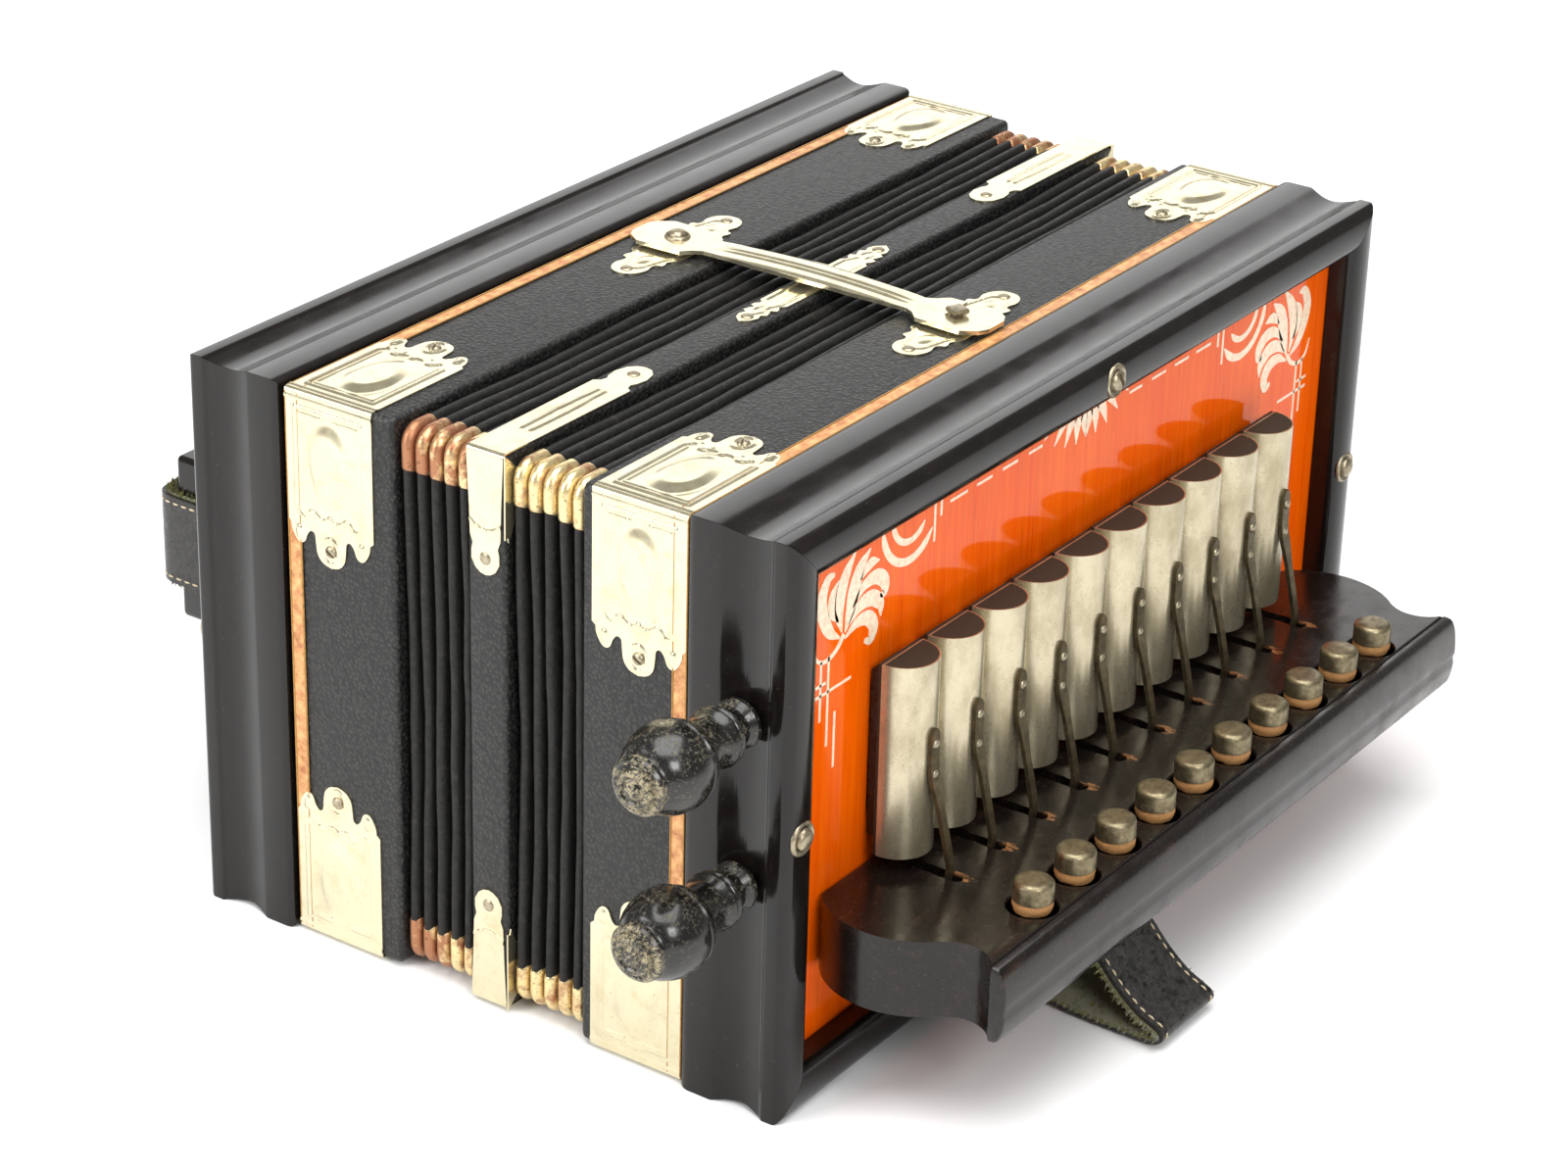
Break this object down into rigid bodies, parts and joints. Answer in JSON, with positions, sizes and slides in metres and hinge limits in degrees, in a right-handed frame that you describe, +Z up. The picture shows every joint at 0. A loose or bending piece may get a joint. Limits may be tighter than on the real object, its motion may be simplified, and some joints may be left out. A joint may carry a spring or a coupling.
{
  "type": "button accordion",
  "caption": "One-row diatonic button accordion: two wooden casings with reed blocks, joined by folded bellows, with a lever keyboard, stop knobs, bass keys, hand strap and top latch.",
  "frame": {"origin": "bottom centre of the whole instrument's box, on the surface that it stands on", "axes": "+X along the casings, away from the stop knobs; +Y along the bellows, from the keyboard to the bass side; +Z up"},
  "size_m": [0.33, 0.31, 0.161],
  "materials": {
    "casing_lacquer": "black gloss lacquer on wood moulding",
    "keyboard_lacquer": "worn black lacquer on wood",
    "face_panel": "orange-red stained and varnished wood with white stencilled ornament",
    "leathercloth": "black pebble-grained covering",
    "bellows_cloth": "black folded bellows cloth",
    "nickel_plate": "pale nickel-plated stamped brass sheet",
    "worn_gold": "worn gilt fold corners",
    "plated_steel": "dull plated steel",
    "tin_sheet": "aged tin plate",
    "turned_wood": "turned wood with worn black paint",
    "bare_wood": "unfinished wood",
    "trim_strip": "tan and gold paper edging",
    "strap_leather": "black stitched leather",
    "strap_plush": "olive plush lining"
  },
  "bodies": {
    "treble_casing": {"treble_moulding": "casing_lacquer", "treble_face_panel": "face_panel", "treble_bellows_frame": "leathercloth", "treble_bellows": "bellows_cloth", "treble_reed_block": "bare_wood", "fingerboard": "keyboard_lacquer", "fingerboard_base": "keyboard_lacquer", "fingerboard_nosing": "keyboard_lacquer", "key_axle": "plated_steel", "thumb_strap": "strap_leather", "latch_plate_treble": "nickel_plate", "corner_plate_treble_left_bottom": "nickel_plate", "corner_plate_treble_left_top": "nickel_plate", "corner_plate_treble_right_bottom": "nickel_plate", "corner_plate_treble_right_top": "nickel_plate"},
    "middle_frame": {"middle_frame": "leathercloth", "bass_bellows": "bellows_cloth", "middle_ornament_plate": "nickel_plate", "middle_clip_left_bottom": "nickel_plate", "middle_clip_left_top": "nickel_plate", "middle_clip_right_bottom": "nickel_plate", "middle_clip_right_top": "nickel_plate"},
    "bass_casing": {"bass_moulding": "casing_lacquer", "bass_panel": "casing_lacquer", "bass_bellows_frame": "leathercloth", "bass_reed_block": "bare_wood", "bass_box": "casing_lacquer", "hand_strap": "strap_leather", "latch_plate_bass": "nickel_plate", "latch_pivot_screw": "plated_steel", "corner_plate_bass_left_bottom": "nickel_plate", "corner_plate_bass_left_top": "nickel_plate", "corner_plate_bass_right_bottom": "nickel_plate", "corner_plate_bass_right_top": "nickel_plate"},
    "latch_bar": {"latch_bar": "nickel_plate"},
    "stop_upper": {"stop_knob_upper": "turned_wood"},
    "stop_lower": {"stop_knob_lower": "turned_wood"},
    "bass_key_1": {"bass_key_1": "nickel_plate"},
    "bass_key_2": {"bass_key_2": "nickel_plate"},
    "air_key": {"air_key": "nickel_plate"},
    "key_01": {"button_01": "tin_sheet", "pallet_lever_01": "tin_sheet"},
    "key_02": {"button_02": "tin_sheet", "pallet_lever_02": "tin_sheet"},
    "key_03": {"button_03": "tin_sheet", "pallet_lever_03": "tin_sheet"},
    "key_04": {"button_04": "tin_sheet", "pallet_lever_04": "tin_sheet"},
    "key_05": {"button_05": "tin_sheet", "pallet_lever_05": "tin_sheet"},
    "key_06": {"button_06": "tin_sheet", "pallet_lever_06": "tin_sheet"},
    "key_07": {"button_07": "tin_sheet", "pallet_lever_07": "tin_sheet"},
    "key_08": {"button_08": "tin_sheet", "pallet_lever_08": "tin_sheet"},
    "key_09": {"button_09": "tin_sheet", "pallet_lever_09": "tin_sheet"},
    "key_10": {"button_10": "tin_sheet", "pallet_lever_10": "tin_sheet"}
  },
  "joints": [
    {"name": "treble_bellows_stretch", "type": "slide", "parent": "treble_casing", "child": "middle_frame", "axis": [0, 1, 0], "range_m": [0, 0.09], "deforming": ["treble_bellows"]},
    {"name": "bass_bellows_stretch", "type": "slide", "parent": "middle_frame", "child": "bass_casing", "axis": [0, 1, 0], "range_m": [0, 0.09], "deforming": ["bass_bellows"]},
    {"name": "latch_bar_turn", "type": "hinge", "parent": "bass_casing", "child": "latch_bar", "pos_m": [0.0195, 0.03955, 0.157], "axis": [0, 0, -1], "range_deg": [0, 80]},
    {"name": "stop_upper_pull", "type": "slide", "parent": "treble_casing", "child": "stop_upper", "axis": [-1, 0, 0], "range_m": [0, 0.009]},
    {"name": "stop_lower_pull", "type": "slide", "parent": "treble_casing", "child": "stop_lower", "axis": [-1, 0, 0], "range_m": [0, 0.009]},
    {"name": "key_01_press", "type": "hinge", "parent": "treble_casing", "child": "key_01", "pos_m": [-0.06906, -0.10545, 0.045], "axis": [1, 0, 0], "range_deg": [0, 7], "stiffness_Nm_per_rad": 0.1, "springref_deg": -14.32},
    {"name": "key_02_press", "type": "hinge", "parent": "treble_casing", "child": "key_02", "pos_m": [-0.04938, -0.10545, 0.045], "axis": [1, 0, 0], "range_deg": [0, 7], "stiffness_Nm_per_rad": 0.1, "springref_deg": -14.32},
    {"name": "key_03_press", "type": "hinge", "parent": "treble_casing", "child": "key_03", "pos_m": [-0.0297, -0.10545, 0.045], "axis": [1, 0, 0], "range_deg": [0, 7], "stiffness_Nm_per_rad": 0.1, "springref_deg": -14.32},
    {"name": "key_04_press", "type": "hinge", "parent": "treble_casing", "child": "key_04", "pos_m": [-0.01002, -0.10545, 0.045], "axis": [1, 0, 0], "range_deg": [0, 7], "stiffness_Nm_per_rad": 0.1, "springref_deg": -14.32},
    {"name": "key_05_press", "type": "hinge", "parent": "treble_casing", "child": "key_05", "pos_m": [0.00966, -0.10545, 0.045], "axis": [1, 0, 0], "range_deg": [0, 7], "stiffness_Nm_per_rad": 0.1, "springref_deg": -14.32},
    {"name": "key_06_press", "type": "hinge", "parent": "treble_casing", "child": "key_06", "pos_m": [0.02934, -0.10545, 0.045], "axis": [1, 0, 0], "range_deg": [0, 7], "stiffness_Nm_per_rad": 0.1, "springref_deg": -14.32},
    {"name": "key_07_press", "type": "hinge", "parent": "treble_casing", "child": "key_07", "pos_m": [0.04902, -0.10545, 0.045], "axis": [1, 0, 0], "range_deg": [0, 7], "stiffness_Nm_per_rad": 0.1, "springref_deg": -14.32},
    {"name": "key_08_press", "type": "hinge", "parent": "treble_casing", "child": "key_08", "pos_m": [0.0687, -0.10545, 0.045], "axis": [1, 0, 0], "range_deg": [0, 7], "stiffness_Nm_per_rad": 0.1, "springref_deg": -14.32},
    {"name": "key_09_press", "type": "hinge", "parent": "treble_casing", "child": "key_09", "pos_m": [0.08838, -0.10545, 0.045], "axis": [1, 0, 0], "range_deg": [0, 7], "stiffness_Nm_per_rad": 0.1, "springref_deg": -14.32},
    {"name": "key_10_press", "type": "hinge", "parent": "treble_casing", "child": "key_10", "pos_m": [0.10806, -0.10545, 0.045], "axis": [1, 0, 0], "range_deg": [0, 7], "stiffness_Nm_per_rad": 0.1, "springref_deg": -14.32},
    {"name": "bass_key_1_press", "type": "hinge", "parent": "bass_casing", "child": "bass_key_1", "pos_m": [-0.01975, 0.10255, 0.097], "axis": [1, 0, 0], "range_deg": [0, 8], "stiffness_Nm_per_rad": 0.1, "springref_deg": -14.32},
    {"name": "bass_key_2_press", "type": "hinge", "parent": "bass_casing", "child": "bass_key_2", "pos_m": [0.00825, 0.10255, 0.097], "axis": [1, 0, 0], "range_deg": [0, 8], "stiffness_Nm_per_rad": 0.1, "springref_deg": -14.32},
    {"name": "air_key_press", "type": "hinge", "parent": "bass_casing", "child": "air_key", "pos_m": [-0.04175, 0.10255, 0.065], "axis": [-1, 0, 0], "range_deg": [0, 8], "stiffness_Nm_per_rad": 0.1, "springref_deg": -14.32}
  ],
  "couplings": [
    {"joint": "bass_bellows_stretch", "follows": "treble_bellows_stretch", "ratio": 1}
  ]
}
